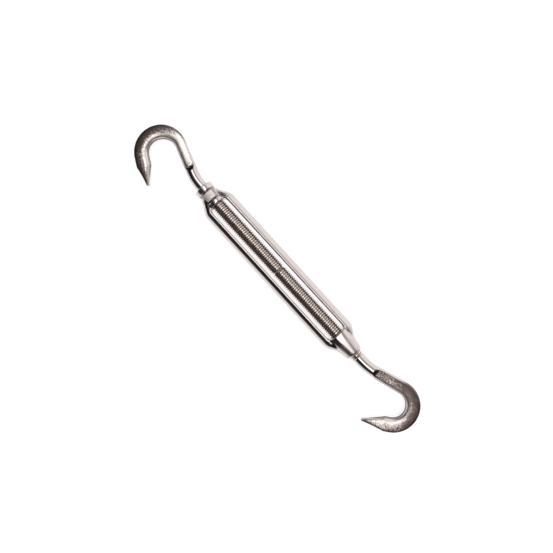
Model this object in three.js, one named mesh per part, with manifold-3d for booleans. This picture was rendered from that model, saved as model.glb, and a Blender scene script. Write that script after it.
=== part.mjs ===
// Open-body rigging turnbuckle with a hook at each end.
// Millimetres. +X runs along the screw axis, +Y across the hooks, +Z up.
// The turnbuckle lies flat, and the origin is the centre of its footprint.
import * as THREE from 'three';
import { mergeVertices } from 'three/addons/utils/BufferGeometryUtils.js';
import Module from 'manifold-3d';

const wasm = await Module();
wasm.setup();

// Screw thread, M6 x 1, drawn as a plain rod at its outside diameter.
const THREAD_RADIUS = 3.0;
const THREAD_CHAMFER = 0.6;
const BORE_RADIUS = 3.2;
const SHANK_RADIUS = 2.65;
const HOOK_GAP = 0.3;

// Body: two half-round rails round an open window, with a threaded boss at each end.
const RAIL_RADIUS = 3.4;
const RAIL_OFFSET = 4.35;
const WINDOW = { from: -38.1, to: 37.7, halfWidth: 4.35, corner: 1.3 };
const BODY_SIDES = 36;

// Where each shoulder starts to narrow and where it has reached its boss.
const LEFT_SHOULDER = { wide: 36.6, narrow: 45.0 };
const RIGHT_SHOULDER = { wide: 37.6, narrow: 46.4 };
const SHOULDER_END_OFFSET = 0.9;
const SHOULDER_ROWS = 10;

// Ringed boss, from its window side outwards: distance from the middle, radius.
const RINGED_BOSS = [
  [36.9, 4.2],
  [37.4, 4.3],
  [40.5, 4.3],
  [40.65, 4.05],
  [40.8, 4.2],
  [44.9, 4.2],
  [45.05, 4.05],
  [45.2, 4.3],
  [47.5, 4.3],
  [47.85, 4.15],
  [48.0, 3.85],
];

// Tapered boss: distance from the middle, radius, and how far its sides are spread.
const TAPERED_BOSS = [
  [36.6, 4.5, 1.1],
  [37.7, 4.6, 1.0],
  [40.0, 4.6, 0.7],
  [43.0, 4.5, 0.35],
  [46.0, 4.25, 0.1],
  [47.8, 4.1, 0],
  [48.7, 3.95, 0],
  [49.3, 3.65, 0],
  [49.5, 3.45, 0],
];

// Hooks, all with the screw axis along +X and the opening towards -Y.
const LEFT_HOOK = {
  spindleTip: -0.2,
  threadEnd: 48.2,
  step: 58.2,
  legAngle: 20,
  crownX: 71.1,
  crownY: -2.65,
  crownRadius: 8.9,
  beakAngle: 30,
  beakLength: 12.4,
  taperStart: 4.3,
  stepHalfWidth: 2.7,
  legHalfWidth: 2.65,
  crownHalfWidth: 3.35,
};
const RIGHT_HOOK = {
  spindleTip: 0.8,
  threadEnd: 51.7,
  step: 62.0,
  legAngle: 17.5,
  crownX: 77.0,
  crownY: -2.9,
  crownRadius: 8.6,
  beakAngle: 36.5,
  beakLength: 12.0,
  taperStart: 2.5,
  stepHalfWidth: 2.9,
  legHalfWidth: 3.1,
  crownHalfWidth: 3.45,
};
const BLADE_HALF_THICKNESS = 2.25;
const TIP_HALF_THICKNESS = 1.3;
const TIP_HALF_WIDTH = 0.95;
const TIP_ROUNDING = 0.8;
const TIP_SHRINK = [0.8, 0.4];
const WIDTH_TAPER_POWER = 0.8;
const THICKNESS_TAPER_POWER = 2;
const SEAT_HALF_ANGLE = 8;
const LEG_ROWS = 5;
const UPPER_CROWN_ROWS = 9;
const WIDENING_ROWS = 7;
const LOWER_CROWN_ROWS = 5;
const BEND_ROWS = 8;
const ROW_SPACING = 1.5;
const BEND_LEAD_IN = 0.6;
const SHANK_OVERLAP = 0.6;

// Sloping pocket pressed into each face of the bar where the flats begin.
const POCKET_LENGTH = 1.8;
const POCKET_FLOOR = 1.94;

// One quarter of the blade's cross-section, as shares of its half width and half thickness.
const BLADE_CORNER = [
  [1.0, 0.45],
  [0.92, 0.8],
  [0.73, 1.0],
];
const SHANK_SIDES = 24;
const SPINDLE_SIDES = 36;

const STEEL_COLOUR = 0xc9c3c0;

function toManifold(geometry) {
  const bare = geometry.clone();
  bare.deleteAttribute('normal');
  bare.deleteAttribute('uv');
  const merged = mergeVertices(bare, 1e-4);
  return new wasm.Manifold(
    new wasm.Mesh({
      numProp: 3,
      vertProperties: new Float32Array(merged.attributes.position.array),
      triVerts: new Uint32Array(merged.index.array),
    })
  );
}

function toGeometry(manifold) {
  const mesh = manifold.getMesh();
  const geometry = new THREE.BufferGeometry();
  geometry.setAttribute('position', new THREE.BufferAttribute(mesh.vertProperties, 3));
  geometry.setIndex(new THREE.BufferAttribute(mesh.triVerts, 1));
  return geometry;
}

// A bar made from a capped cylinder: its rows are set along a route, and its sides are given
// the outline of a cross-section. A row holds its centre, its heading in degrees, and the
// function that turns a point of the outline into (across, up).
function bar(rows, outline) {
  const geometry = new THREE.CylinderGeometry(1, 1, 1, outline.length, rows.length - 1);
  const position = geometry.attributes.position;
  for (let i = 0; i < position.count; i += 1) {
    const x = position.getX(i);
    const z = position.getZ(i);
    const row = rows[Math.round((0.5 - position.getY(i)) * (rows.length - 1))];
    const turn = Math.round((Math.atan2(x, z) / (2 * Math.PI)) * outline.length);
    const corner = outline[(turn + outline.length) % outline.length];
    const [across, up] = Math.hypot(x, z) < 0.5 ? [0, 0] : row.place(corner);
    const heading = THREE.MathUtils.degToRad(row.heading);
    position.setXYZ(
      i,
      row.x - across * Math.sin(heading),
      row.y + across * Math.cos(heading),
      up
    );
  }
  return toManifold(geometry);
}

// Points round a circle, as (across, up), in the order of a cylinder's sides.
function roundOutline(sides) {
  const points = [];
  for (let i = 0; i < sides; i += 1) {
    const angle = (i / sides) * 2 * Math.PI;
    points.push([Math.sin(angle), Math.cos(angle)]);
  }
  return points;
}

// The blade's outline: flat faces above and below, and rounded edges.
function bladeOutline() {
  const quarter = [...BLADE_CORNER].reverse();
  const rightTop = quarter;
  const rightBottom = [...quarter].reverse().map(([a, b]) => [a, -b]);
  const leftBottom = quarter.map(([a, b]) => [-a, -b]);
  const leftTop = [...quarter].reverse().map(([a, b]) => [-a, b]);
  return [...rightTop, ...rightBottom, ...leftBottom, ...leftTop];
}

// A body row: a circle of that radius, split and spread apart across the body by offset.
function bodyRow(x, radius, offset) {
  const place = ([across, up]) => {
    const side = Math.abs(across) < 1e-6 ? 0 : Math.sign(across);
    return [across * radius + side * offset, up * radius];
  };
  return { x, y: 0, heading: 0, place };
}

function shoulderRows(shoulder, side) {
  const rows = [];
  for (let i = 0; i <= SHOULDER_ROWS; i += 1) {
    const share = i / SHOULDER_ROWS;
    const distance = THREE.MathUtils.lerp(shoulder.narrow, shoulder.wide, share);
    const ease = THREE.MathUtils.smoothstep(share, 0, 1);
    const offset = THREE.MathUtils.lerp(SHOULDER_END_OFFSET, RAIL_OFFSET, ease);
    rows.push(bodyRow(side * distance, RAIL_RADIUS, offset));
  }
  return rows;
}

function windowCutter() {
  const { from, to, halfWidth, corner } = WINDOW;
  const shape = new THREE.Shape();
  shape.moveTo(from + corner, -halfWidth);
  shape.lineTo(to - corner, -halfWidth);
  shape.absarc(to - corner, -halfWidth + corner, corner, -Math.PI / 2, 0);
  shape.lineTo(to, halfWidth - corner);
  shape.absarc(to - corner, halfWidth - corner, corner, 0, Math.PI / 2);
  shape.lineTo(from + corner, halfWidth);
  shape.absarc(from + corner, halfWidth - corner, corner, Math.PI / 2, Math.PI);
  shape.lineTo(from, -halfWidth + corner);
  shape.absarc(from + corner, -halfWidth + corner, corner, Math.PI, 1.5 * Math.PI);
  const depth = 4 * RAIL_RADIUS;
  const geometry = new THREE.ExtrudeGeometry(shape, { depth, bevelEnabled: false, curveSegments: 5 });
  geometry.translate(0, 0, -depth / 2);
  return toManifold(geometry);
}

function boreCutter() {
  const length = 2 * RIGHT_HOOK.threadEnd;
  const geometry = new THREE.CylinderGeometry(BORE_RADIUS, BORE_RADIUS, length, SPINDLE_SIDES);
  geometry.rotateZ(Math.PI / 2);
  return toManifold(geometry);
}

function bodyGeometry() {
  const circle = roundOutline(BODY_SIDES);
  const loopRows = [
    ...shoulderRows(LEFT_SHOULDER, -1),
    ...shoulderRows(RIGHT_SHOULDER, 1).reverse(),
  ];
  const ringedRows = RINGED_BOSS.map(([x, radius]) => bodyRow(-x, radius, 0)).reverse();
  const taperedRows = TAPERED_BOSS.map(([x, radius, offset]) => bodyRow(x, radius, offset));
  const solid = bar(loopRows, circle).add(bar(ringedRows, circle)).add(bar(taperedRows, circle));
  return toGeometry(solid.subtract(windowCutter()).subtract(boreCutter()));
}

// The threaded rod lies on the screw axis, from its tip near the middle to the plain shank.
function spindleGeometry(hook) {
  const profile = [
    new THREE.Vector2(0, hook.spindleTip),
    new THREE.Vector2(THREAD_RADIUS - THREAD_CHAMFER, hook.spindleTip),
    new THREE.Vector2(THREAD_RADIUS, hook.spindleTip + THREAD_CHAMFER),
    new THREE.Vector2(THREAD_RADIUS, hook.threadEnd - THREAD_CHAMFER / 2),
    new THREE.Vector2(SHANK_RADIUS, hook.threadEnd),
    new THREE.Vector2(0, hook.threadEnd),
  ];
  const geometry = new THREE.LatheGeometry(profile, SPINDLE_SIDES);
  geometry.rotateZ(-Math.PI / 2);
  return toGeometry(toManifold(geometry));
}

// The middle line of a hook, as a list of straight and round stretches. The bar leaves the
// screw axis on a gentle bend, runs up the leg, turns round the crown and ends in the beak.
function route(hook) {
  const leg = THREE.MathUtils.degToRad(hook.legAngle);
  const beak = THREE.MathUtils.degToRad(hook.beakAngle);
  const { crownX, crownY, crownRadius } = hook;
  const legTop = new THREE.Vector2(
    crownX - crownRadius * Math.sin(leg),
    crownY + crownRadius * Math.cos(leg)
  );
  const axisCrossing = legTop.x - legTop.y / Math.tan(leg);
  const bendStart = hook.threadEnd + BEND_LEAD_IN;
  const tangent = axisCrossing - bendStart;
  const bendRadius = tangent / Math.tan(leg / 2);
  const legStart = new THREE.Vector2(
    axisCrossing + tangent * Math.cos(leg),
    tangent * Math.sin(leg)
  );
  const beakStart = new THREE.Vector2(
    crownX + crownRadius * Math.sin(beak),
    crownY - crownRadius * Math.cos(beak)
  );
  return { leg, legTop, legStart, bendStart, bendRadius, beakStart };
}

// Rows clockwise round an arc: angles in degrees about its centre.
function arcRows(centre, radius, from, to, steps) {
  const rows = [];
  for (let i = 0; i <= steps; i += 1) {
    const degrees = THREE.MathUtils.lerp(from, to, i / steps);
    const angle = THREE.MathUtils.degToRad(degrees);
    rows.push({
      x: centre.x + radius * Math.cos(angle),
      y: centre.y + radius * Math.sin(angle),
      heading: degrees - 90,
    });
  }
  return rows;
}

function lineRows(start, heading, length, steps) {
  const rows = [];
  const angle = THREE.MathUtils.degToRad(heading);
  for (let i = 0; i <= steps; i += 1) {
    const along = (length * i) / steps;
    rows.push({
      x: start.x + along * Math.cos(angle),
      y: start.y + along * Math.sin(angle),
      heading,
    });
  }
  return rows;
}

// The middle line's point and heading at a distance along the screw axis, before the crown.
function barPoint(hook, path, x) {
  if (x >= path.legStart.x) {
    const rise = (x - path.legStart.x) * Math.tan(path.leg);
    return { x, y: path.legStart.y + rise, heading: hook.legAngle };
  }
  const angle = Math.asin((x - path.bendStart) / path.bendRadius);
  return {
    x,
    y: path.bendRadius * (1 - Math.cos(angle)),
    heading: THREE.MathUtils.radToDeg(angle),
  };
}

// The round shank, from the screw axis to just inside the blade.
function shankRows(hook, path) {
  const rows = [{ x: hook.threadEnd + HOOK_GAP, y: 0, heading: 0 }];
  for (let i = 0; i <= BEND_ROWS; i += 1) {
    const x = THREE.MathUtils.lerp(path.bendStart, hook.step + SHANK_OVERLAP, i / BEND_ROWS);
    rows.push(barPoint(hook, path, x));
  }
  const place = ([across, up]) => [across * SHANK_RADIUS, up * SHANK_RADIUS];
  return rows.map((row) => ({ ...row, place }));
}

function bladeRows(hook, path) {
  const start = barPoint(hook, path, hook.step);
  const legLength = Math.hypot(path.legTop.x - start.x, path.legTop.y - start.y);
  const legRows = lineRows(start, hook.legAngle, legLength, LEG_ROWS);
  legRows[0].heading = start.heading;
  const crown = new THREE.Vector2(hook.crownX, hook.crownY);
  const radius = hook.crownRadius;
  const upperFrom = 90 + hook.legAngle;
  const upper = arcRows(crown, radius, upperFrom, SEAT_HALF_ANGLE, UPPER_CROWN_ROWS);
  const lowerTo = hook.beakAngle - 90;
  const lower = arcRows(crown, radius, -SEAT_HALF_ANGLE, lowerTo, LOWER_CROWN_ROWS);
  const beakHeading = hook.beakAngle - 180;
  const steps = Math.round(hook.beakLength / ROW_SPACING);
  const beakRows = lineRows(path.beakStart, beakHeading, hook.beakLength, steps);
  legRows.forEach((row, i) => {
    const share = i / (legRows.length - 1);
    row.halfWidth = THREE.MathUtils.lerp(hook.stepHalfWidth, hook.legHalfWidth, share);
    row.halfThickness = BLADE_HALF_THICKNESS;
  });
  upper.forEach((row, i) => {
    const share = THREE.MathUtils.smoothstep(i / WIDENING_ROWS, 0, 1);
    row.halfWidth = THREE.MathUtils.lerp(hook.legHalfWidth, hook.crownHalfWidth, share);
    row.halfThickness = BLADE_HALF_THICKNESS;
  });
  lower.forEach((row) => {
    row.halfWidth = hook.crownHalfWidth;
    row.halfThickness = BLADE_HALF_THICKNESS;
  });
  beakRows.forEach((row, i) => {
    const along = (hook.beakLength * i) / steps;
    const share = Math.max(0, (along - hook.taperStart) / (hook.beakLength - hook.taperStart));
    const narrowing = share ** WIDTH_TAPER_POWER;
    const thinning = share ** THICKNESS_TAPER_POWER;
    row.halfWidth = THREE.MathUtils.lerp(hook.crownHalfWidth, TIP_HALF_WIDTH, narrowing);
    row.halfThickness = THREE.MathUtils.lerp(BLADE_HALF_THICKNESS, TIP_HALF_THICKNESS, thinning);
  });
  const last = beakRows[beakRows.length - 1];
  const tip = lineRows(last, beakHeading, TIP_ROUNDING, TIP_SHRINK.length).slice(1);
  tip.forEach((row, i) => {
    row.halfWidth = TIP_HALF_WIDTH * TIP_SHRINK[i];
    row.halfThickness = TIP_HALF_THICKNESS * TIP_SHRINK[i];
  });
  const rows = [...legRows, ...upper.slice(1), ...lower, ...beakRows.slice(1), ...tip];
  return rows.map((row) => ({
    ...row,
    place: ([across, up]) => [across * row.halfWidth, up * row.halfThickness],
  }));
}

// Cuts the pocket's slope and its flat floor into one face of the shank.
function pocketCutter(hook, path, face) {
  const start = barPoint(hook, path, hook.step);
  const top = 2 * SHANK_RADIUS;
  const shape = new THREE.Shape();
  shape.moveTo(-POCKET_LENGTH, SHANK_RADIUS);
  shape.lineTo(0, POCKET_FLOOR);
  shape.lineTo(POCKET_LENGTH, POCKET_FLOOR);
  shape.lineTo(POCKET_LENGTH, top);
  shape.lineTo(-POCKET_LENGTH, top);
  shape.closePath();
  const depth = 4 * SHANK_RADIUS;
  const geometry = new THREE.ExtrudeGeometry(shape, { depth, bevelEnabled: false });
  geometry.translate(0, 0, -depth / 2);
  geometry.rotateX((face * Math.PI) / 2);
  geometry.rotateZ(THREE.MathUtils.degToRad(start.heading));
  geometry.translate(start.x, start.y, 0);
  return toManifold(geometry);
}

function hookGeometry(hook) {
  const path = route(hook);
  const shank = bar(shankRows(hook, path), roundOutline(SHANK_SIDES))
    .subtract(pocketCutter(hook, path, 1))
    .subtract(pocketCutter(hook, path, -1));
  return toGeometry(shank.add(bar(bladeRows(hook, path), bladeOutline())));
}

function castSteel() {
  return new THREE.MeshStandardMaterial({ color: STEEL_COLOUR, roughness: 0.16, metalness: 1 });
}

function threadedSteel() {
  return new THREE.MeshStandardMaterial({ color: STEEL_COLOUR, roughness: 0.24, metalness: 1 });
}

function forgedSteel() {
  return new THREE.MeshStandardMaterial({ color: STEEL_COLOUR, roughness: 0.3, metalness: 1 });
}

function named(name, geometry, material) {
  const mesh = new THREE.Mesh(geometry, material);
  mesh.name = name;
  return mesh;
}

// The left-hand end is the same shape turned round, with its hook still open towards -Y.
function turnedRound(mesh) {
  mesh.rotation.y = Math.PI;
  return mesh;
}

const pieces = new THREE.Group();
pieces.add(named('body', bodyGeometry(), castSteel()));
pieces.add(turnedRound(named('left_hand_spindle', spindleGeometry(LEFT_HOOK), threadedSteel())));
pieces.add(turnedRound(named('left_hand_hook', hookGeometry(LEFT_HOOK), forgedSteel())));
pieces.add(named('right_hand_spindle', spindleGeometry(RIGHT_HOOK), threadedSteel()));
pieces.add(named('right_hand_hook', hookGeometry(RIGHT_HOOK), forgedSteel()));

// The footprint's centre goes to the origin and the lowest point to the ground.
pieces.updateMatrixWorld(true);
const bounds = new THREE.Box3().setFromObject(pieces);
const centre = bounds.getCenter(new THREE.Vector3());
pieces.position.set(-centre.x, -centre.y, -bounds.min.z);

const turnbuckle = new THREE.Group();
turnbuckle.add(pieces);

export default turnbuckle;
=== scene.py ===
"""Looks of the open-body rigging turnbuckle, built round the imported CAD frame.

The shapes are described in millimetres, with the origin on the screw axis between the two
threaded rods, +X towards the right-hand hook and the hooks open towards -Y. Each piece is a
closed mesh: a smooth solid is the zero level of a distance field, and a threaded rod is a
round surface whose radius follows the screw thread.
"""

import math

import bpy
import numpy as np
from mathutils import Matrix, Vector


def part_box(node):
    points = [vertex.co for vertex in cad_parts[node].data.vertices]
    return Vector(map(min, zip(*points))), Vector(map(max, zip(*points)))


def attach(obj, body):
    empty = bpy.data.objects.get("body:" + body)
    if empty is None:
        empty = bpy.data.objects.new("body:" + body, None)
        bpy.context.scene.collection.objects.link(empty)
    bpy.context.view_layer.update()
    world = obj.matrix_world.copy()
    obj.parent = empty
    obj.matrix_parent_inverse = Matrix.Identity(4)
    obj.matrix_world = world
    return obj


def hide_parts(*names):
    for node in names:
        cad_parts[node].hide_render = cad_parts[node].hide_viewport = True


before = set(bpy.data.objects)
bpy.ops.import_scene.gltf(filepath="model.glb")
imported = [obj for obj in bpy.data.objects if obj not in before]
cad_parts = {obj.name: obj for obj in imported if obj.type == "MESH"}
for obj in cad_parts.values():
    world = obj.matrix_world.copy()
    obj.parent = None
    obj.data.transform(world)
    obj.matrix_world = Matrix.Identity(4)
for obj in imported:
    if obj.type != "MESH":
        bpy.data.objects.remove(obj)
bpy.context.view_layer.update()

MM = 0.001

# ---------------------------------------------------------------- sizes, in millimetres

THREAD_CREST = 2.98
THREAD_ROOT = 2.42
THREAD_PITCH = 1.0
SHANK_RADIUS = 2.74
BORE_RADIUS = 3.15

# A rod's tip reaches TIP_REACH past its CAD end, as a cone of TIP_RADIUS at that end which
# widens by TIP_SLOPE for each millimetre.
TIP_REACH = 0.25
TIP_RADIUS = 2.62
TIP_SLOPE = 1.5
# The thread runs out between these distances from its end, and the rod, a little thinner than
# the shank there, goes on into it by ROD_LAP.
RUN_OUT_FROM = 1.1
RUN_OUT_TO = 0.1
ROD_LAP = 0.3
ROD_END_INSET = 0.18
RINGS_PER_TURN = 16
ROD_SIDES = 72

RAIL_RADIUS = 3.38
RAIL_OFFSET = 4.35
SHOULDER_END_OFFSET = 0.9
SHOULDER_THINNING = 0.85
FADE_NARROWING = 0.9
FADE_THINNING = 0.5
# From the middle outwards: where each shoulder draws in, where it gets thinner, where it fades
# into its boss, and where it ends inside the boss.
LEFT_SHOULDER = (36.6, 45.0)
RIGHT_SHOULDER = (37.6, 46.4)
LEFT_THINNING = (36.6, 43.0)
RIGHT_THINNING = (37.6, 44.6)
LEFT_FADE = (43.0, 46.4)
RIGHT_FADE = (44.5, 47.8)
LEFT_LOOP_END = 46.6
RIGHT_LOOP_END = 48.0
WINDOW_FROM = -38.1
WINDOW_TO = 37.7
WINDOW_HALF_WIDTH = 4.35
WINDOW_CORNER = 1.3
# The casting's surface lies a little inside its drawn shape and is slightly uneven.
CASTING_INSET = 0.02
CASTING_UNEVENNESS = 0.018

# Each hook is drawn as if it pointed towards +X. Angles are in degrees from the screw axis.
# "painted_shading" is how much of the shaded copy of the steel, painted shade against painted
# light, the flats take against the share of the way from the step to the tip. "outer_shading"
# adds more on the outside of the bend and takes as much off the inside, and "outer_flank_shade"
# is how dark the painted shade on the steep part of the outer side is.
LEFT_HOOK = {
    "tip": -0.2,
    "thread_end": 48.2,
    "step": 58.2,
    "step_tilt": 10.0,
    "leg_angle": 20.0,
    "crown": (71.1, -2.65),
    "crown_radius": 8.9,
    "beak_angle": 30.0,
    "beak_length": 12.2,
    "taper_start": 4.3,
    "step_half_width": 2.68,
    "leg_half_width": 2.65,
    "crown_half_width": 3.33,
    "outer_shading": 0.95,
    "outer_flank_shade": 1.0,
    "painted_shading": [
        (0.0, 0.5),
        (0.08, 0.15),
        (0.16, -0.3),
        (0.3, -0.15),
        (0.4, 0.7),
        (0.6, 0.85),
        (0.75, 0.65),
        (0.88, 0.7),
        (1.0, 0.8),
    ],
}
RIGHT_HOOK = {
    "tip": 0.8,
    "thread_end": 51.7,
    "step": 62.0,
    "step_tilt": 5.0,
    "leg_angle": 17.5,
    "crown": (77.0, -2.9),
    "crown_radius": 8.6,
    "beak_angle": 36.5,
    "beak_length": 11.8,
    "taper_start": 2.5,
    "step_half_width": 2.88,
    "leg_half_width": 3.08,
    "crown_half_width": 3.42,
    "outer_shading": 0.4,
    "outer_flank_shade": 0.2,
    "painted_shading": [
        (0.0, 1.0),
        (0.15, 1.05),
        (0.35, 1.05),
        (0.5, 1.1),
        (0.6, 0.95),
        (0.7, 0.45),
        (0.85, 0.05),
        (0.94, 0.2),
        (1.0, 0.55),
    ],
}
# The shank is straight for this far on each side of the thread's end.
SHANK_LAP = 0.6
BLADE_HALF_THICKNESS = 2.32
FACE_CROWNING = 0.28
# The blade is an oval cut flat on both faces: how tall the oval is against the flats, how much
# taller it is on the outside of the bend, and how wide the change is.
OVAL_HEIGHT = 1.17
OVAL_OUTER_GAIN = 0.4
OVAL_CHANGE = 1.2
BLADE_EDGE_ROUNDING = 0.42
TIP_HALF_THICKNESS = 1.25
TIP_HALF_WIDTH = 0.9
WIDTH_TAPER_POWER = 0.8
THICKNESS_TAPER_POWER = 2.0
POCKET_LENGTH = 1.8
POCKET_FLOOR = 1.9
HOOK_INSET = 0.1
HOOK_UNEVENNESS = 0.015

BODY_CELL = 0.2
HOOK_CELL = 0.17

# Where the design's origin sits in the row frame, from the CAD nodes.
right_rod_low, right_rod_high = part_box("right_hand_spindle")
AXIS = (right_rod_low + right_rod_high) / 2
ORIGIN = Vector((right_rod_low.x - RIGHT_HOOK["tip"] * MM, AXIS.y, AXIS.z))


# ---------------------------------------------------------------- fields and meshes

def smooth_step(x, start, end):
    t = np.clip((x - start) / (end - start), 0.0, 1.0)
    return t * t * (3.0 - 2.0 * t)


def smooth_min(a, b, radius):
    h = np.maximum(radius - np.abs(a - b), 0.0) / radius
    return np.minimum(a, b) - h * h * radius / 4.0


def smooth_max(a, b, radius):
    return -smooth_min(-a, -b, radius)


def smooth_table(points, blur):
    """A function through the points, with its corners rounded over about blur."""
    xs, ys = np.array(points, float).T
    step = blur / 4.0
    dense = np.arange(xs[0] - 4 * blur, xs[-1] + 4 * blur, step)
    reach = np.arange(-12, 13)
    kernel = np.exp(-0.5 * (reach * step / blur) ** 2)
    values = np.interp(dense, xs, ys)
    padded = np.pad(values, 12, mode="edge")
    values = np.convolve(padded, kernel / kernel.sum(), mode="valid")
    return lambda x: np.interp(x, dense, values)


def waviness(seed, wavelength, count):
    """A gentle unevenness between -1 and 1, the same on every run."""
    rng = np.random.default_rng(seed)
    directions = rng.normal(size=(count, 3))
    directions /= np.linalg.norm(directions, axis=1)[:, None]
    rates = 2 * math.pi / (wavelength * rng.uniform(0.7, 1.6, count))
    phases = rng.uniform(0, 2 * math.pi, count)

    def wave(x, y, z):
        total = 0.0
        for (a, b, c), rate, phase in zip(directions, rates, phases):
            total = total + np.sin(rate * (a * x + b * y + c * z) + phase)
        return total / count

    return wave


def gradient(field, points, reach=0.01):
    slopes = []
    for axis in range(3):
        shift = np.zeros(3)
        shift[axis] = reach
        ahead = field(*(points + shift).T)
        behind = field(*(points - shift).T)
        slopes.append((ahead - behind) / (2 * reach))
    return np.stack(slopes, axis=1)


def pull_to_surface(field, points, limit, rounds=3):
    for _ in range(rounds):
        slope = gradient(field, points)
        size = np.maximum((slope**2).sum(axis=1), 1e-4)
        move = -(field(*points.T) / size)[:, None] * slope
        length = np.linalg.norm(move, axis=1)
        move *= np.minimum(1.0, limit / np.maximum(length, 1e-9))[:, None]
        points = points + move
    return points


def net(field, low, high, step):
    """The zero level of a field as quads: one point in each cell that the surface crosses."""
    axes = [np.arange(a, b + step, step) for a, b in zip(low, high)]
    grid = np.meshgrid(*axes, indexing="ij", sparse=True)
    values = np.broadcast_to(field(*grid), [len(a) for a in axes])
    inside = values < 0
    shape = [len(a) - 1 for a in axes]
    corners = [(i, j, k) for i in (0, 1) for j in (0, 1) for k in (0, 1)]

    def corner_of(array, corner):
        i, j, k = corner
        return array[i : i + shape[0], j : j + shape[1], k : k + shape[2]]

    count_inside = sum(corner_of(inside, c).astype(np.int8) for c in corners)
    cells = np.argwhere((count_inside > 0) & (count_inside < 8))
    number = np.full(shape, -1, int)
    number[tuple(cells.T)] = np.arange(len(cells))
    corner_values = {c: values[tuple((cells + c).T)] for c in corners}
    total = np.zeros((len(cells), 3))
    hits = np.zeros(len(cells))
    for c in corners:
        for axis in range(3):
            if c[axis] == 1:
                continue
            d = tuple(c[n] + (n == axis) for n in range(3))
            a, b = corner_values[c], corner_values[d]
            crossed = (a < 0) != (b < 0)
            share = np.where(crossed, a / np.where(crossed, a - b, 1.0), 0.0)
            point = np.tile(np.array(c, float), (len(cells), 1))
            point[:, axis] += share
            total += point * crossed[:, None]
            hits += crossed
    points = np.array(low) + step * (cells + total / hits[:, None])
    quads = []
    for axis in range(3):
        u, v = (axis + 1) % 3, (axis + 2) % 3
        first = [slice(None)] * 3
        second = [slice(None)] * 3
        first[axis] = slice(0, -1)
        second[axis] = slice(1, None)
        a, b = inside[tuple(first)], inside[tuple(second)]
        edges = np.argwhere(a != b)
        inner = np.ones(len(edges), bool)
        for n in (u, v):
            inner &= (edges[:, n] > 0) & (edges[:, n] < len(axes[n]) - 1)
        edges = edges[inner]
        starts_inside = a[tuple(edges.T)]
        ring = []
        for du, dv in ((1, 1), (0, 1), (0, 0), (1, 0)):
            cell = edges.copy()
            cell[:, u] -= du
            cell[:, v] -= dv
            ring.append(number[tuple(cell.T)])
        quad = np.stack(ring, axis=1)
        quad[~starts_inside] = quad[~starts_inside][:, ::-1]
        quads.append(quad)
    return points, np.concatenate(quads)


def relax(field, points, quads, step, rounds=4):
    """Evens out the mesh without leaving the surface."""
    pairs = np.concatenate([quads[:, [n, (n + 1) % 4]] for n in range(4)])
    for _ in range(rounds):
        total = np.zeros_like(points)
        hits = np.zeros(len(points))
        for a, b in ((0, 1), (1, 0)):
            for axis in range(3):
                total[:, axis] += np.bincount(
                    pairs[:, a], weights=points[pairs[:, b], axis], minlength=len(points)
                )
            hits += np.bincount(pairs[:, a], minlength=len(points))
        points = points + 0.6 * (total / hits[:, None] - points)
        points = pull_to_surface(field, points, 0.5 * step, rounds=1)
    return pull_to_surface(field, points, 0.5 * step, rounds=2)


def skin(field, low, high, step):
    """Points, normals and quads of the solid where the field is negative."""
    points, quads = net(field, low, high, step)
    points = pull_to_surface(field, points, 0.5 * step)
    points = relax(field, points, quads, step)
    slope = gradient(field, points)
    normals = slope / np.maximum(np.linalg.norm(slope, axis=1), 1e-9)[:, None]
    return points, normals, quads


def make_piece(name, points, normals, faces, material, turned=False):
    """A mesh object in the row frame. turned swings it half round the Y axis, so that the
    left-hand hook bolt points towards -X and still opens towards -Y."""
    if turned:
        flip = np.array([-1.0, 1.0, -1.0])
        points, normals = points * flip, normals * flip
    mesh = bpy.data.meshes.new(name)
    mesh.vertices.add(len(points))
    placed = points * MM + np.array(ORIGIN)
    mesh.vertices.foreach_set("co", placed.astype(np.float32).ravel())
    loops = np.concatenate([f.ravel() for f in faces])
    sizes = np.concatenate([np.full(len(f), f.shape[1]) for f in faces])
    mesh.loops.add(len(loops))
    mesh.loops.foreach_set("vertex_index", loops.astype(np.int32))
    mesh.polygons.add(len(sizes))
    starts = np.concatenate([[0], np.cumsum(sizes)[:-1]])
    mesh.polygons.foreach_set("loop_start", starts.astype(np.int32))
    mesh.update(calc_edges=True)
    mesh.shade_smooth()
    mesh.normals_split_custom_set_from_vertices(normals.tolist())
    mesh.materials.append(material)
    piece = bpy.data.objects.new(name, mesh)
    bpy.context.scene.collection.objects.link(piece)
    return piece


def add_mask(piece, name, values):
    attribute = piece.data.attributes.new(name, "FLOAT", "POINT")
    attribute.data.foreach_set("value", values.astype(np.float32))


# ---------------------------------------------------------------- body

# Each boss as radius against distance from the middle. The right-hand one is an oval, whose
# sides are spread apart near the window.
LEFT_BOSS_FROM = 36.9
LEFT_BOSS_END = 47.98
RIGHT_BOSS_FROM = 36.6
RIGHT_BOSS_END = 49.45
LEFT_BOSS = smooth_table(
    [
        (36.0, 4.1),
        (37.6, 4.18),
        (38.9, 4.28),
        (40.1, 4.24),
        (40.5, 3.72),
        (40.9, 3.92),
        (44.8, 3.92),
        (45.2, 3.72),
        (45.5, 4.26),
        (46.5, 4.28),
        (47.6, 4.28),
        (48.3, 4.1),
    ],
    0.12,
)
RIGHT_BOSS = smooth_table(
    [
        (36.0, 4.54),
        (38.0, 4.57),
        (40.0, 4.57),
        (43.0, 4.47),
        (46.0, 4.27),
        (47.8, 4.12),
        (48.7, 4.0),
        (50.0, 3.75),
    ],
    0.7,
)
RIGHT_BOSS_SPREAD = smooth_table(
    [(36.0, 1.15), (37.7, 1.0), (40.0, 0.7), (43.0, 0.35), (46.0, 0.1), (48.0, 0.0), (50.0, 0.0)],
    0.7,
)
# The blank pad on each face of the ringed boss, turned a little about the screw axis: its
# place and size, the height of its face and the radius that the face is curved to.
PAD_CENTRE = -42.85
PAD_HALF_LENGTH = 1.85
PAD_HALF_WIDTH = 2.2
PAD_TURN = math.radians(4)
PAD_HEIGHT = 4.32
PAD_CURVE = 7.5
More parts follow.
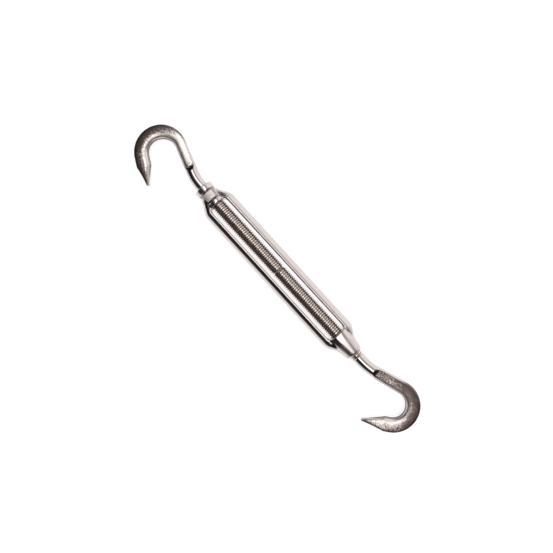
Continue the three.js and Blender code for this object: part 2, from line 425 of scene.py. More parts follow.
# The ringed boss is less satin than the tapered one.
LEFT_BOSS_SATIN = 0.55
casting_wave = waviness(7, 7.0, 9)


def loop_field(x, y, z):
    """The two rails and their shoulders, as one flat oval bar before the window is cut."""
    left = smooth_step(-x, LEFT_SHOULDER[1], LEFT_SHOULDER[0])
    right = smooth_step(x, RIGHT_SHOULDER[1], RIGHT_SHOULDER[0])
    spread = RAIL_OFFSET - SHOULDER_END_OFFSET
    offset = SHOULDER_END_OFFSET + spread * np.minimum(left, right)
    fade = np.maximum(smooth_step(-x, *LEFT_FADE), smooth_step(x, *RIGHT_FADE))
    half_width = offset + RAIL_RADIUS - FADE_NARROWING * fade
    thinning = np.maximum(smooth_step(-x, *LEFT_THINNING), smooth_step(x, *RIGHT_THINNING))
    radius = RAIL_RADIUS - SHOULDER_THINNING * thinning - FADE_THINNING * fade
    return np.hypot(np.maximum(np.abs(y) - half_width + radius, 0.0), z) - radius


def window_field(x, y):
    """The window's outline, a rectangle with round corners."""
    middle = (WINDOW_FROM + WINDOW_TO) / 2
    half_length = (WINDOW_TO - WINDOW_FROM) / 2
    across = np.abs(y) - WINDOW_HALF_WIDTH + WINDOW_CORNER
    along = np.abs(x - middle) - half_length + WINDOW_CORNER
    outside = np.hypot(np.maximum(along, 0.0), np.maximum(across, 0.0))
    return outside + np.minimum(np.maximum(along, across), 0.0) - WINDOW_CORNER


def pad_fields(x, y, z):
    """How far a point is outside the pad's outline, and how far above its gently curved face."""
    height = np.abs(z)
    across = y * math.cos(PAD_TURN) + height * math.sin(PAD_TURN)
    above = height * math.cos(PAD_TURN) - y * math.sin(PAD_TURN)
    sides = np.abs(across) - PAD_HALF_WIDTH
    ends = np.abs(x - PAD_CENTRE) - PAD_HALF_LENGTH
    face = np.hypot(across, above + PAD_CURVE - PAD_HEIGHT) - PAD_CURVE
    return smooth_max(sides, ends, 0.6), face


def pad_field(x, y, z):
    outline, face = pad_fields(x, y, z)
    return smooth_max(outline, face, 0.12)


def body_field(x, y, z):
    """Rails, a ringed boss with its pad at the left-hand end and a tapered one at the right-hand
    end, with the window cut and the bosses bored right through."""
    r = np.hypot(y, z)
    rails = loop_field(x, y, z)
    rails = np.maximum(rails, np.maximum(-LEFT_LOOP_END - x, x - RIGHT_LOOP_END))
    left = smooth_max(r - LEFT_BOSS(-x), -x - LEFT_BOSS_END, 0.4)
    left = np.maximum(left, x + LEFT_BOSS_FROM)
    left = smooth_min(left, pad_field(x, y, z), 0.08)
    spread = RIGHT_BOSS_SPREAD(x)
    right = np.hypot(np.maximum(np.abs(y) - spread, 0.0), z) - RIGHT_BOSS(x)
    right = smooth_max(right, x - RIGHT_BOSS_END, 1.2)
    right = smooth_max(right, RIGHT_BOSS_FROM - x, 0.5)
    solid = smooth_min(smooth_min(rails, left, 0.45), right, 0.45)
    solid = smooth_max(solid, -window_field(x, y), 0.8)
    solid = smooth_max(solid, BORE_RADIUS - r, 0.25)
    return solid + CASTING_INSET + CASTING_UNEVENNESS * casting_wave(x, y, z)


def body_masks(points, normals):
    """Where the casting's finish changes: the blank pad, painted shade in the grooves round the
    pad and between the rings, painted shade on the inner faces of the window, and the satin
    bosses."""
    radius = np.hypot(points[:, 1], points[:, 2])
    reach = np.abs(points[:, 0])
    outline, face = pad_fields(*points.T)
    pad = smooth_step(outline, 0.06, -0.1) * smooth_step(face, -0.16, -0.06)
    # Painted shade: the grooves between the rings and round the pad are coloured dark where shade
    # falls in them.
    between_rings = smooth_step(radius, 4.02, 3.84)
    between_rings *= smooth_step(-points[:, 0], 40.0, 40.3)
    between_rings *= smooth_step(-points[:, 0], 45.9, 45.6)
    pad_rim = smooth_step(outline, 0.0, 0.1) * smooth_step(outline, 0.55, 0.35)
    pad_rim *= smooth_step(face, -0.9, -0.6)
    # Painted shade: the inner faces of the window are coloured dark for the shade and dark
    # reflections they hold.
    facing_in = -normals[:, 1] * np.sign(points[:, 1])
    window_wall_shade = smooth_step(facing_in, 0.6, 0.9) * smooth_step(reach, 38.4, 37.2)
    boss = smooth_step(reach, 37.6, 39.4) * smooth_step(radius, 4.85, 4.6)
    boss *= np.where(points[:, 0] < 0, LEFT_BOSS_SATIN, 1.0)
    return {
        "pad": pad,
        "recess_shade": np.maximum(between_rings, pad_rim),
        "window_wall_shade": window_wall_shade,
        "boss": boss,
    }


def build_body(material):
    low, high = (-49.0, -8.6, -5.2), (50.6, 8.6, 5.2)
    points, normals, quads = skin(body_field, low, high, BODY_CELL)
    body_piece = make_piece("body_casting", points, normals, [quads], material)
    for name, values in body_masks(points, normals).items():
        add_mask(body_piece, name, values)
    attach(body_piece, "body")
    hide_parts("body")


# ---------------------------------------------------------------- hooks

class Route:
    """The middle line of a hook: lines and arcs, from just before the end of the thread."""

    def __init__(self, hook):
        leg = math.radians(hook["leg_angle"])
        beak = math.radians(hook["beak_angle"])
        crown = np.array(hook["crown"])
        radius = hook["crown_radius"]
        leg_top = crown + radius * np.array([-math.sin(leg), math.cos(leg)])
        crossing = leg_top[0] - leg_top[1] / math.tan(leg)
        bend_start = hook["thread_end"] + SHANK_LAP
        tangent = crossing - bend_start
        bend_radius = tangent / math.tan(leg / 2)
        leg_start = np.array([crossing + tangent * math.cos(leg), tangent * math.sin(leg)])
        beak_start = crown + radius * np.array([math.sin(beak), -math.cos(beak)])
        beak_way = np.array([-math.cos(beak), -math.sin(beak)])
        beak_end = beak_start + hook["beak_length"] * beak_way
        start = np.array([hook["thread_end"] - SHANK_LAP, 0.0])
        bend_from = np.array([bend_start, 0.0])
        bend_centre = np.array([bend_start, bend_radius])
        self.parts = []
        self.length = 0.0
        self.add_line(start, bend_from)
        self.add_arc(bend_centre, bend_radius, -math.pi / 2, leg)
        self.leg_from = self.length
        self.add_line(leg_start, leg_top)
        self.crown_from = self.length
        self.add_arc(crown, radius, math.pi / 2 + leg, -(math.pi + leg - beak))
        self.beak_from = self.length
        self.add_line(beak_start, beak_end)
        share = (hook["step"] - bend_start) / bend_radius
        turn = math.asin(min(share, math.sin(leg)))
        self.step_along = 2 * SHANK_LAP + bend_radius * turn
        self.step_point = np.array([hook["step"], bend_radius * (1 - math.cos(turn))])
        if hook["step"] > leg_start[0]:
            beyond = (hook["step"] - leg_start[0]) / math.cos(leg)
            self.step_along = self.leg_from + beyond
            self.step_point = leg_start + beyond * np.array([math.cos(leg), math.sin(leg)])

    def add_line(self, a, b):
        size = float(np.linalg.norm(b - a))
        self.parts.append(("line", self.length, a, (b - a) / size, size))
        self.length += size

    def add_arc(self, centre, radius, start, sweep):
        self.parts.append(("arc", self.length, centre, radius, start, sweep))
        self.length += radius * abs(sweep)

    def measure(self, x, y):
        """For each point, its distance from the middle line, its distance along it, and how far
        to the left of it the point lies."""
        best = np.full(np.broadcast(x, y).shape, 1e9)
        along = np.zeros_like(best)
        left = np.zeros_like(best)
        for part in self.parts:
            if part[0] == "line":
                _, before, a, way, size = part
                t = np.clip((x - a[0]) * way[0] + (y - a[1]) * way[1], 0.0, size)
                gap = np.hypot(x - a[0] - t * way[0], y - a[1] - t * way[1])
                side = way[0] * (y - a[1]) - way[1] * (x - a[0])
                s = before + t
            else:
                _, before, centre, radius, start, sweep = part
                angle = np.arctan2(y - centre[1], x - centre[0])
                turn = (angle - start) * math.copysign(1.0, sweep)
                spare = math.pi - abs(sweep) / 2
                turn = (turn + spare) % (2 * math.pi) - spare
                turn = np.clip(turn, 0.0, abs(sweep))
                at = start + math.copysign(1.0, sweep) * turn
                gap = np.hypot(
                    x - centre[0] - radius * np.cos(at), y - centre[1] - radius * np.sin(at)
                )
                reach = np.hypot(x - centre[0], y - centre[1])
                side = math.copysign(1.0, -sweep) * (reach - radius)
                s = before + radius * turn
            nearer = gap < best
            best = np.where(nearer, gap, best)
            along = np.where(nearer, s, along)
            left = np.where(nearer, side, left)
        return best, along, left


def blade_tables(hook, route):
    """Half width and half thickness of the flattened bar along the middle line."""
    crown_length = route.beak_from - route.crown_from
    widths = [
        (route.step_along - 2.0, hook["step_half_width"]),
        (route.step_along, hook["step_half_width"]),
        (route.crown_from, hook["leg_half_width"]),
    ]
    for share in np.linspace(0.05, 0.45, 9):
        ease = smooth_step(share, 0.0, 0.45)
        width = hook["leg_half_width"] + ease * (hook["crown_half_width"] - hook["leg_half_width"])
        widths.append((route.crown_from + share * crown_length, width))
    taper_from = route.beak_from + hook["taper_start"]
    taper_length = hook["beak_length"] - hook["taper_start"]
    widths.append((taper_from, hook["crown_half_width"]))
    thicknesses = [(0.0, BLADE_HALF_THICKNESS), (taper_from, BLADE_HALF_THICKNESS)]
    for share in np.linspace(0.1, 1.0, 10):
        along = taper_from + share * taper_length
        narrowing = share**WIDTH_TAPER_POWER
        width = hook["crown_half_width"]
        widths.append((along, width + narrowing * (TIP_HALF_WIDTH - width)))
        thinning = share**THICKNESS_TAPER_POWER
        thickness = BLADE_HALF_THICKNESS + thinning * (TIP_HALF_THICKNESS - BLADE_HALF_THICKNESS)
        thicknesses.append((along, thickness))
    return smooth_table(widths, 0.25), smooth_table(thicknesses, 0.5)


def hook_solid(hook, seed):
    """A round shank that steps up into the flattened blade, with a sloping pocket at the step."""
    route = Route(hook)
    width_at, thickness_at = blade_tables(hook, route)
    wave = waviness(seed, 5.0, 9)
    tilt = math.radians(hook["step_tilt"])
    step_way = (math.cos(tilt), math.sin(tilt))
    step_x, step_y = route.step_point
    slope = (SHANK_RADIUS - POCKET_FLOOR) / POCKET_LENGTH
    slope_size = math.hypot(1.0, slope)

    def field(x, y, z):
        across, along, left = route.measure(x, y)
        height = np.abs(z)
        past_step = (x - step_x) * step_way[0] + (y - step_y) * step_way[1]
        past_step = np.where(along > route.step_along + 4.0, 4.0, past_step)
        width = width_at(along)
        thickness = thickness_at(along)
        outer = smooth_step(left, -OVAL_CHANGE, OVAL_CHANGE)
        bulge = thickness * (OVAL_HEIGHT + OVAL_OUTER_GAIN * outer)
        side = np.hypot(across / width, z / bulge) - 1.0
        side = side * np.minimum(width, bulge)
        thickness = thickness - FACE_CROWNING * np.minimum(across / width, 1.2) ** 2
        blade = smooth_max(side, height - thickness, BLADE_EDGE_ROUNDING)
        blade = smooth_max(blade, -past_step, 0.12)
        shank = np.hypot(across, z) - SHANK_RADIUS
        above_pocket = (height - SHANK_RADIUS + slope * (past_step + POCKET_LENGTH)) / slope_size
        shank = smooth_max(shank, above_pocket, 0.15)
        shank = np.maximum(shank, past_step - 0.8)
        start = hook["thread_end"] - SHANK_LAP - x
        shank = smooth_max(shank, start, 0.2)
        solid = smooth_min(shank, blade, 0.08)
        return solid + HOOK_INSET + HOOK_UNEVENNESS * wave(x, y, z)

    return route, field


def hook_masks(hook, route, points, normals):
    """Where the hook's look changes: its pressed flats, the painted highlight on their inner
    corner, the painted shade on its steep sides, the painted light and shade on its flats, and the
    painted shade in the pocket at the step."""
    _, along, left = route.measure(points[:, 0], points[:, 1])
    past = along - route.step_along
    share = past / (route.length - route.step_along)
    blade = smooth_step(along, route.step_along - 0.05, route.step_along + 0.35)
    # 1 on a level face and 0 on an upright one, with the tapered beak counted as a little flatter.
    level = np.abs(normals[:, 2]) + 0.05 * smooth_step(share, 0.78, 0.88)
    # 1 on the outside of the bend and -1 on the inside.
    outward = left / hook["crown_half_width"]

    flat = smooth_step(level, 0.9, 0.985) * blade
    # Painted highlight along the inner corner of the flats, where the rounded edge catches the
    # light.
    edge = smooth_step(level, 0.6, 0.78) * (1.0 - smooth_step(level, 0.95, 0.982))
    edge *= blade * smooth_step(outward, 0.25, -0.1)
    # Painted shade on the steep sides of the blade.
    inner_flank = smooth_step(level, 0.0, 0.1) * (1.0 - smooth_step(level, 0.42, 0.52))
    inner_flank *= smooth_step(outward, -0.3, -0.6)
    outer_flank = smooth_step(level, 0.0, 0.1) * (1.0 - smooth_step(level, 0.9, 0.97))
    outer_flank *= smooth_step(outward, 0.3, 0.6) * smooth_step(share, 0.18, 0.3)
    outer_flank *= np.where(level > 0.35, 1.0, hook["outer_flank_shade"])
    # Painted light and shade on the flats: how much of the shaded copy of the steel each place
    # takes, more on the outside of the bend.
    painted_shading = smooth_table(hook["painted_shading"], 0.04)(share)
    bend = smooth_step(share, 0.1, 0.35)
    painted_shading = painted_shading - 0.1 + hook["outer_shading"] * outward * bend
    painted_shading = painted_shading + 0.35 * bend * smooth_step(outward, -0.5, 0.0)
    # Painted shade in the pocket at the step.
    pocket_shade = smooth_step(past, -POCKET_LENGTH - 0.2, -POCKET_LENGTH + 0.4)
    pocket_shade *= 1.0 - smooth_step(past, 0.0, 0.3)
    pocket_shade *= smooth_step(np.abs(normals[:, 2]), 0.8, 0.9)
    return {
        "pressed_flat": flat,
        "edge_highlight": edge,
        "flank_shade": np.maximum(inner_flank, outer_flank) * blade,
        "flat_light_and_shade": np.clip(painted_shading, -0.4, 1.2) * flat,
        "pocket_shade": pocket_shade,
    }


def build_hook(name, hook, body, node, material, seed, turned):
    route, field = hook_solid(hook, seed)
    reach = hook["crown"][0] + hook["crown_radius"] + hook["crown_half_width"] + 0.6
    low = (hook["thread_end"] - 1.2, -19.0, -3.1)
    high = (reach, 11.0, 3.1)
    points, normals, quads = skin(field, low, high, HOOK_CELL)
    piece = make_piece(name, points, normals, [quads], material, turned)
    for mask, values in hook_masks(hook, route, points, normals).items():
        add_mask(piece, mask, values)
    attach(piece, body)
    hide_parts(node)


# ---------------------------------------------------------------- threaded rods

THREAD_PROFILE = smooth_table(
    [
        (-0.5, THREAD_ROOT),
        (-0.36, THREAD_ROOT),
        (-0.17, THREAD_CREST),
        (0.17, THREAD_CREST),
        (0.36, THREAD_ROOT),
        (0.5, THREAD_ROOT),
    ],
    0.03,
)


def rod_radius(hook, hand, x, angle):
    """Radius of the rod, with a right-hand thread for hand 1 and a left-hand one for -1."""
    turn = x / THREAD_PITCH - hand * angle / (2 * math.pi)
    radius = THREAD_PROFILE((turn + 0.5) % 1.0 - 0.5)
    chamfer = TIP_RADIUS + TIP_SLOPE * (x - hook["tip"])
    radius = smooth_min(radius, chamfer, 0.1)
    end = hook["thread_end"]
    run_out = smooth_step(x, end - RUN_OUT_FROM, end - RUN_OUT_TO)
    return radius + run_out * (SHANK_RADIUS - ROD_END_INSET - radius)


def build_rod(name, hook, hand, body, node, material, turned):
    ends = (hook["tip"] - TIP_REACH, hook["thread_end"] + ROD_LAP)
    rings = np.arange(*ends, THREAD_PITCH / RINGS_PER_TURN)
    sides = ROD_SIDES
    angles = np.arange(sides) * 2 * math.pi / sides
    x, angle = np.meshgrid(rings, angles, indexing="ij")
    radius = rod_radius(hook, hand, x, angle)
    small = 1e-3
    along_slope = (
        rod_radius(hook, hand, x + small, angle) - rod_radius(hook, hand, x - small, angle)
    ) / (2 * small)
    round_slope = (
        rod_radius(hook, hand, x, angle + small) - rod_radius(hook, hand, x, angle - small)
    ) / (2 * small * radius)
    # The angle runs from +Z towards -Y, which is right-handed about +X.
    outward = np.stack([np.zeros_like(x), -np.sin(angle), np.cos(angle)], axis=-1)
    sideways = np.stack([np.zeros_like(x), -np.cos(angle), -np.sin(angle)], axis=-1)
    normals = outward - round_slope[..., None] * sideways
    normals[..., 0] -= along_slope
    normals /= np.linalg.norm(normals, axis=-1)[..., None]
    points = outward * radius[..., None]
    points[..., 0] = x
    number = np.arange(len(rings) * sides).reshape(len(rings), sides)
    following = np.roll(number, -1, axis=1)
    quads = np.stack(
        [number[:-1], following[:-1], following[1:], number[1:]], axis=-1
    ).reshape(-1, 4)
    points = points.reshape(-1, 3)
    normals = normals.reshape(-1, 3)
    tris = []
    for ring, way in ((0, -1.0), (len(rings) - 1, 1.0)):
        rim = points[number[ring]]
        first = len(points)
        centre = np.array([[rim[0, 0], 0.0, 0.0]])
        points = np.concatenate([points, rim, centre])
        normals = np.concatenate([normals, np.tile([way, 0.0, 0.0], (sides + 1, 1))])
        here = first + np.arange(sides)
        beyond = np.roll(here, -1)
        hub = np.full(sides, first + sides)
        order = [beyond, here, hub] if way < 0 else [here, beyond, hub]
        tris.append(np.stack(order, axis=1))
    piece = make_piece(name, points, normals, [quads, *tris], material, turned)
    # Painted shade: the grooves of the thread are coloured darker where shade falls in them.
    depth = np.hypot(points[:, 1], points[:, 2])
    groove_shade = 1.0 - smooth_step(depth, THREAD_ROOT + 0.1, THREAD_CREST - 0.04)
    add_mask(piece, "groove_shade", groove_shade)
    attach(piece, body)
    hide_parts(node)


# ---------------------------------------------------------------- materials

class Nodes:
    """Small helper for building node trees."""

    def __init__(self, tree):
        self.tree = tree
        tree.nodes.clear()

    def add(self, kind, inputs=None, **settings):
        node = self.tree.nodes.new(kind)
        for key, value in settings.items():
            setattr(node, key, value)
        for key, value in (inputs or {}).items():
            self.feed(node.inputs[key], value)
        return node

    def feed(self, socket, value):
        if isinstance(value, bpy.types.NodeSocket):
            self.tree.links.new(value, socket)
        else:
            socket.default_value = value

    def math(self, operation, a, b=0.0, clamp=False):
        node = self.add("ShaderNodeMath", operation=operation, use_clamp=clamp)
        self.feed(node.inputs[0], a)
        self.feed(node.inputs[1], b)
        return node.outputs[0]

    def ramp(self, value, low, high, to_low=0.0, to_high=1.0):
        node = self.add("ShaderNodeMapRange", interpolation_type="SMOOTHSTEP")
        for key, item in zip(
            ("Value", "From Min", "From Max", "To Min", "To Max"),
            (value, low, high, to_low, to_high),
        ):
            self.feed(node.inputs[key], item)
        return node.outputs["Result"]

    def noise(self, vector, scale, detail=3.0, roughness=0.55):
        node = self.add(
            "ShaderNodeTexNoise",
            {"Vector": vector, "Scale": scale, "Detail": detail, "Roughness": roughness},
        )
        return node.outputs["Fac"]

    def stretched(self, vector, scale):
        node = self.add("ShaderNodeMapping", {"Vector": vector, "Scale": scale})
        return node.outputs["Vector"]

    def mix_colour(self, share, a, b):
        node = self.add("ShaderNodeMix", data_type="RGBA", clamp_factor=True)
        self.feed(node.inputs[0], share)
        self.feed(node.inputs[6], a)
        self.feed(node.inputs[7], b)
        return node.outputs[2]

    def scale_colour(self, colour, size):
        node = self.add("ShaderNodeVectorMath", operation="SCALE")
        self.feed(node.inputs[0], colour)
        self.feed(node.inputs["Scale"], size)
        return node.outputs[0]

    def mask(self, name):
        return self.add("ShaderNodeAttribute", attribute_name=name).outputs["Fac"]

    def object_place(self):
        return self.add("ShaderNodeTexCoord").outputs["Object"]


# Colours, most of them as the two ends of a slow variation.
CAST_STEEL = ((0.63, 0.57, 0.565, 1), (0.69, 0.63, 0.625, 1))
PAD_STEEL = (0.97, 0.91, 0.87, 1)
# Painted shade for the grooves round the pad and between the rings.
RECESS_SHADE = (0.12, 0.10, 0.09, 1)
# Painted shade for the inner faces of the window.
WINDOW_WALL_SHADE = (0.20, 0.16, 0.145, 1)
# A lit and a shaded copy of the thread's steel: painted highlight on the crests, painted shade in
# the grooves.
LIT_CREST_STEEL = ((0.93, 0.87, 0.82, 1), (0.99, 0.94, 0.90, 1))
SHADED_GROOVE_STEEL = ((0.44, 0.35, 0.29, 1), (0.58, 0.47, 0.40, 1))
BAR_STEEL = ((0.62, 0.56, 0.55, 1), (0.68, 0.62, 0.61, 1))
# A lit and a shaded copy of the hooks' steel, for painted light and shade on the flats.
LIT_FLAT_STEEL = ((0.80, 0.73, 0.685, 1), (0.92, 0.85, 0.80, 1))
SHADED_FLAT_STEEL = ((0.07, 0.051, 0.045, 1), (0.15, 0.112, 0.1, 1))
# A bright copy of the steel for the painted highlight on the flats' inner corner.
EDGE_HIGHLIGHT_STEEL = (0.93, 0.87, 0.83, 1)
# Painted shade for the hooks' steep sides.
FLANK_SHADE = (0.075, 0.057, 0.05, 1)
# Painted shade for the pocket at the step.
POCKET_SHADE = (0.16, 0.135, 0.125, 1)
# How deep each surface's grain is, in metres.
CASTING_BUMP = 4e-6
THREAD_BUMP = 2.5e-6
HOOK_BUMP = 8e-6


def finish_material(nodes, colour, roughness, height, bump_distance):
    bump = nodes.add(
        "ShaderNodeBump", {"Height": height, "Distance": bump_distance, "Strength": 1.0}
    )
    shader = nodes.add(
        "ShaderNodeBsdfPrincipled",
        {
            "Base Color": colour,
            "Metallic": 1.0,
            "Roughness": roughness,
            "Normal": bump.outputs["Normal"],
        },
    )
    out = nodes.add("ShaderNodeOutputMaterial")
    nodes.feed(out.inputs["Surface"], shader.outputs[0])


def polished_casting():
    """Mirror-polished cast stainless steel with faint polishing lines, satin bosses and a matte
    pad,
    with painted shade: darker colour in the grooves and on the inner faces of the window."""
    material = bpy.data.materials.new("polished_casting")
    material.use_nodes = True
    n = Nodes(material.node_tree)
    place = n.object_place()
    cloud = n.noise(place, 260.0)
    lines = n.noise(n.stretched(place, (90.0, 1800.0, 1800.0)), 1.0, 4.0)
    grain = n.noise(place, 2600.0, 4.0, 0.7)
    pad = n.mask("pad")
    tone = n.mix_colour(cloud, *CAST_STEEL)
    colour = n.mix_colour(pad, tone, PAD_STEEL)
    # Painted shade in the grooves round the pad and between the rings.
    recess_shade = n.math("MULTIPLY", n.mask("recess_shade"), 0.75)
    colour = n.mix_colour(recess_shade, colour, RECESS_SHADE)
    # Painted shade on the inner faces of the window, which are also made rougher.
    window_wall_shade = n.mask("window_wall_shade")
    colour = n.mix_colour(window_wall_shade, colour, WINDOW_WALL_SHADE)
    roughness = n.ramp(cloud, 0.3, 0.7, 0.1, 0.17)
    roughness = n.math("ADD", roughness, n.ramp(lines, 0.45, 0.75, 0.0, 0.08))
    roughness = n.math("ADD", roughness, n.math("MULTIPLY", window_wall_shade, 0.3))
    roughness = n.math("ADD", roughness, n.math("MULTIPLY", n.mask("boss"), 0.15))
    roughness = n.math("ADD", roughness, n.math("MULTIPLY", pad, 0.32), clamp=True)
    height = n.math("MULTIPLY", lines, 0.35)
    height = n.math("ADD", height, n.math("MULTIPLY", grain, n.ramp(pad, 0.0, 1.0, 0.1, 3.0)))
    finish_material(n, colour, roughness, height, CASTING_BUMP)
    return material


def rolled_thread():
    """Painted light and shade on the thread: crests a brighter copy of the steel as a painted
    highlight, over grooves a darker copy as painted shade.
    """
    material = bpy.data.materials.new("rolled_thread")
    material.use_nodes = True
    n = Nodes(material.node_tree)
    place = n.object_place()
    cloud = n.noise(place, 420.0)
    grain = n.noise(place, 3200.0, 4.0, 0.7)
    groove_shade = n.mask("groove_shade")
    lit_crest = n.mix_colour(cloud, *LIT_CREST_STEEL)
    shaded_groove = n.mix_colour(cloud, *SHADED_GROOVE_STEEL)
    colour = n.mix_colour(groove_shade, lit_crest, shaded_groove)
    roughness = n.ramp(cloud, 0.3, 0.7, 0.28, 0.31)
    roughness = n.math("ADD", roughness, n.math("MULTIPLY", groove_shade, 0.06))
    finish_material(n, colour, roughness, grain, THREAD_BUMP)
    return material


def forged_hook():
    """Polished round bar with satin, slightly pitted flats, with painted light and shade: a lit
    and a shaded copy of the steel mottled over the flats, painted shade on the steep sides and in
    the pocket, and a painted highlight on the flats' inner corners."""
    material = bpy.data.materials.new("forged_hook")
    material.use_nodes = True
    n = Nodes(material.node_tree)
    place = n.object_place()
    cloud = n.noise(place, 300.0)
    blotch = n.noise(place, 120.0, 2.0)
    pits = n.noise(place, 1500.0, 4.0, 0.75)
    grain = n.noise(place, 3400.0, 3.0, 0.7)
    flat = n.mask("pressed_flat")
    pocket_shade = n.mask("pocket_shade")
    tone = n.mix_colour(cloud, *BAR_STEEL)
    # The flats mix a lit and a shaded copy of the steel as painted light and shade, mottled at
    # random; scale is the shaded copy.
    lit_flat = n.mix_colour(blotch, *LIT_FLAT_STEEL)
    scale = n.mix_colour(blotch, *SHADED_FLAT_STEEL)
    flat_light_and_shade = n.math("ADD", n.mask("flat_light_and_shade"), n.ramp(blotch, 0.35, 0.65, -0.15, 0.15))
    flat_light_and_shade = n.math("ADD", flat_light_and_shade, n.ramp(pits, 0.4, 0.6, -0.32, 0.32), clamp=True)
    speckled = n.mix_colour(flat_light_and_shade, lit_flat, scale)
    colour = n.mix_colour(flat, tone, speckled)
    # Painted highlight along the inner corner of the flats.
    edge = n.math("MULTIPLY", n.mask("edge_highlight"), n.ramp(cloud, 0.3, 0.5, 0.5, 1.0))
    colour = n.mix_colour(edge, colour, EDGE_HIGHLIGHT_STEEL)
    # Painted shade on the steep sides.
    flank = n.math("MULTIPLY", n.mask("flank_shade"), 0.95)
    colour = n.mix_colour(flank, colour, FLANK_SHADE)
    # Painted shade in the pocket at the step.
    colour = n.mix_colour(n.math("MULTIPLY", pocket_shade, 0.8), colour, POCKET_SHADE)
    roughness = n.ramp(cloud, 0.3, 0.7, 0.12, 0.2)
    roughness = n.math("ADD", roughness, n.math("MULTIPLY", flat, 0.16))
    roughness = n.math("ADD", roughness, n.math("MULTIPLY", pocket_shade, 0.1))
    roughness = n.math("ADD", roughness, n.math("MULTIPLY", edge, 0.22))
    texture = n.math("ADD", n.math("MULTIPLY", pits, 0.7), n.math("MULTIPLY", grain, 0.3))
    height = n.math("MULTIPLY", texture, n.ramp(flat, 0.0, 1.0, 0.15, 0.9))
    finish_material(n, colour, roughness, height, HOOK_BUMP)
    return material


# ---------------------------------------------------------------- pieces

casting_material = polished_casting()
thread_material = rolled_thread()
hook_material = forged_hook()

build_body(casting_material)
build_rod(
    "left_hand_thread",
    LEFT_HOOK,
    hand=-1,
    body="left_hand_hook",
    node="left_hand_spindle",
    material=thread_material,
    turned=True,
)
build_rod(
    "right_hand_thread",
    RIGHT_HOOK,
    hand=1,
    body="right_hand_hook",
    node="right_hand_spindle",
    material=thread_material,
    turned=False,
)
build_hook(
    "left_hand_hook_bar",
    LEFT_HOOK,
    body="left_hand_hook",
    node="left_hand_hook",
    material=hook_material,
    seed=11,
    turned=True,
)
build_hook(
    "right_hand_hook_bar",
    RIGHT_HOOK,
    body="right_hand_hook",
    node="right_hand_hook",
    material=hook_material,
    seed=12,
    turned=False,
)


# ---------------------------------------------------------------- studio

FLOOR_HALF = 4.0
# The floor's glow rises between these two distances from the middle, in metres.
FLOOR_GLOW_REACH = (0.1, 1.4)
FLOOR_GLOW = (0.72, 0.99)

# The studio's light by direction, in degrees from straight up: "over" is towards -Y, the front,
# and "side" is towards +X, the right. Each pair says where a light starts and ends its change.
SOFTBOX_LEFT = (-23.0, -17.0)
SOFTBOX_RIGHT = (21.0, 29.0)
SOFTBOX_BACK = (-28.0, -6.0)
SOFTBOX_FRONT = (1.0, 21.0)
STRIP_SLANT = 0.7
STRIP_BACK = (-13.5, -9.5)
STRIP_FRONT = (2.0, 6.0)
STRIP_LEVEL = 3.0
WALL_EDGE = (-30.0, -56.0)
WALL_LEVEL = 0.76
DARK_SIDES = (46.0, 34.0)
# The pale band near the floor, by the height of the direction, and the tints of the light.
LOW_BAND = (0.3, 0.14)
LOW_BAND_LEVEL = 0.45
LIGHT_TINT = (1.0, 0.985, 0.965)
BELOW_TINT = (0.98, 0.96, 0.96, 1)


def build_floor():
    """A pale light table: mostly its own glow, with some plain white to take a faint shadow."""
    mesh = bpy.data.meshes.new("floor")
    half = FLOOR_HALF
    corners = [(-half, -half, 0), (half, -half, 0), (half, half, 0), (-half, half, 0)]
    mesh.from_pydata(corners, [], [(0, 1, 2, 3)])
    floor = bpy.data.objects.new("floor", mesh)
    bpy.context.scene.collection.objects.link(floor)
    material = bpy.data.materials.new("pale_floor")
    material.use_nodes = True
    n = Nodes(material.node_tree)
    away = n.add("ShaderNodeVectorMath", {0: n.object_place()}, operation="LENGTH")
    strength = n.ramp(away.outputs["Value"], *FLOOR_GLOW_REACH, *FLOOR_GLOW)
    glow = n.add("ShaderNodeEmission", {"Color": (1, 0.985, 0.985, 1), "Strength": strength})
    plain = n.add("ShaderNodeBsdfDiffuse", {"Color": (0.5, 0.49, 0.49, 1)})
    both = n.add("ShaderNodeAddShader")
    n.feed(both.inputs[0], glow.outputs[0])
    n.feed(both.inputs[1], plain.outputs[0])
    out = n.add("ShaderNodeOutputMaterial")
    n.feed(out.inputs["Surface"], both.outputs[0])
    mesh.materials.append(material)


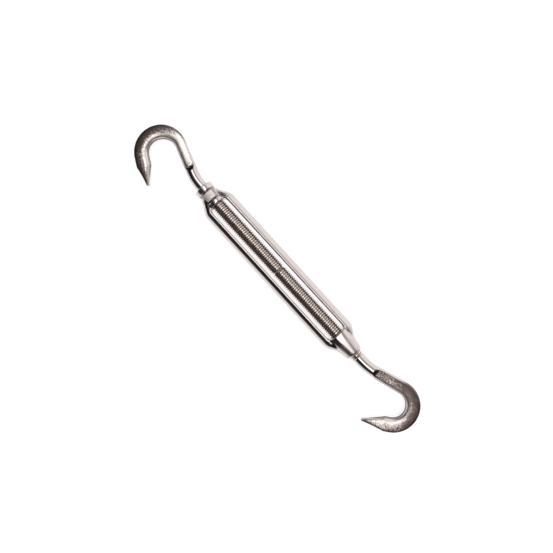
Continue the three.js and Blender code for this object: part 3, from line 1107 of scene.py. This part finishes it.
def build_world():
    """A dark studio with an overhead softbox, a brighter strip slanting across it, a light wall
    on the +Y side, a pale band low down all round, and a white backdrop behind the object."""
    world = bpy.data.worlds.new("studio")
    world.use_nodes = True
    bpy.context.scene.world = world
    n = Nodes(world.node_tree)
    direction = n.add("ShaderNodeTexCoord").outputs["Generated"]
    x, y, z = n.add("ShaderNodeSeparateXYZ", {"Vector": direction}).outputs
    over = n.math("DEGREES", n.math("ARCTAN2", n.math("MULTIPLY", y, -1.0), z))
    side = n.math("DEGREES", n.math("ARCSINE", x))
    left = n.ramp(side, *SOFTBOX_LEFT)
    right = n.ramp(side, *SOFTBOX_RIGHT, 1.0, 0.0)
    inner = n.math("MULTIPLY", left, right)
    back = n.ramp(over, *SOFTBOX_BACK, 0.38, 0.70)
    front = n.ramp(over, *SOFTBOX_FRONT, 1.0, 0.04)
    soft = n.math("MULTIPLY", back, front)
    soft = n.math("MULTIPLY", soft, n.ramp(inner, 0.0, 1.0, 0.25, 1.0))
    slanted = n.math("SUBTRACT", over, n.math("MULTIPLY", side, STRIP_SLANT))
    back = n.ramp(slanted, *STRIP_BACK)
    front = n.ramp(slanted, *STRIP_FRONT, 1.0, 0.0)
    strip = n.math("MULTIPLY", n.math("MULTIPLY", back, front), inner)
    wall = n.ramp(over, *WALL_EDGE, 0.0, WALL_LEVEL)
    level = n.math("ADD", n.math("ADD", soft, wall), n.math("MULTIPLY", strip, STRIP_LEVEL))
    middle = n.ramp(n.math("ABSOLUTE", side), *DARK_SIDES, 0.05, 1.0)
    level = n.math("MULTIPLY", level, middle)
    level = n.math("MAXIMUM", level, n.ramp(z, *LOW_BAND, 0.0, LOW_BAND_LEVEL))
    lit = n.scale_colour(LIGHT_TINT, level)
    below = n.ramp(z, 0.0, -0.02)
    studio = n.mix_colour(below, lit, BELOW_TINT)
    seen = n.add("ShaderNodeLightPath").outputs["Is Camera Ray"]
    colour = n.mix_colour(seen, studio, (1, 1, 1, 1))
    background = n.add("ShaderNodeBackground", {"Color": colour, "Strength": 1.0})
    out = n.add("ShaderNodeOutputWorld")
    n.feed(out.inputs["Surface"], background.outputs[0])


def build_key_light():
    """A broad soft light that only the floor takes: it gives the faint contact shadow."""
    light = bpy.data.lights.new("key", "AREA")
    light.shape = "RECTANGLE"
    light.size = 1.6
    light.size_y = 1.6
    light.energy = 5.4
    key = bpy.data.objects.new("key", light)
    key.location = (0.0, -0.15, 0.8)
    key.rotation_euler = (-key.location).to_track_quat("-Z", "Y").to_euler()
    key.visible_camera = False
    key.visible_glossy = False
    bpy.context.scene.collection.objects.link(key)


CAMERA_HEIGHT = 0.255
VIEW_WIDTH = 0.2394
VIEW_CENTRE = (-0.93 * MM, 1.95 * MM)
AXIS_TILT = 47.47


def build_camera():
    """Straight above, with the screw axis running down to the right."""
    data = bpy.data.cameras.new("camera")
    data.sensor_width = 36.0
    data.lens = data.sensor_width * CAMERA_HEIGHT / VIEW_WIDTH
    data.clip_start = 0.01
    data.clip_end = 20.0
    camera = bpy.data.objects.new("camera", data)
    camera.location = (*VIEW_CENTRE, AXIS.z + CAMERA_HEIGHT)
    camera.rotation_euler = (0.0, 0.0, math.radians(AXIS_TILT))
    bpy.context.scene.collection.objects.link(camera)
    bpy.context.scene.camera = camera


build_floor()
build_world()
build_key_light()
build_camera()
bpy.context.scene.view_settings.view_transform = "Standard"
bpy.context.scene.view_settings.look = "None"

bpy.context.view_layer.update()
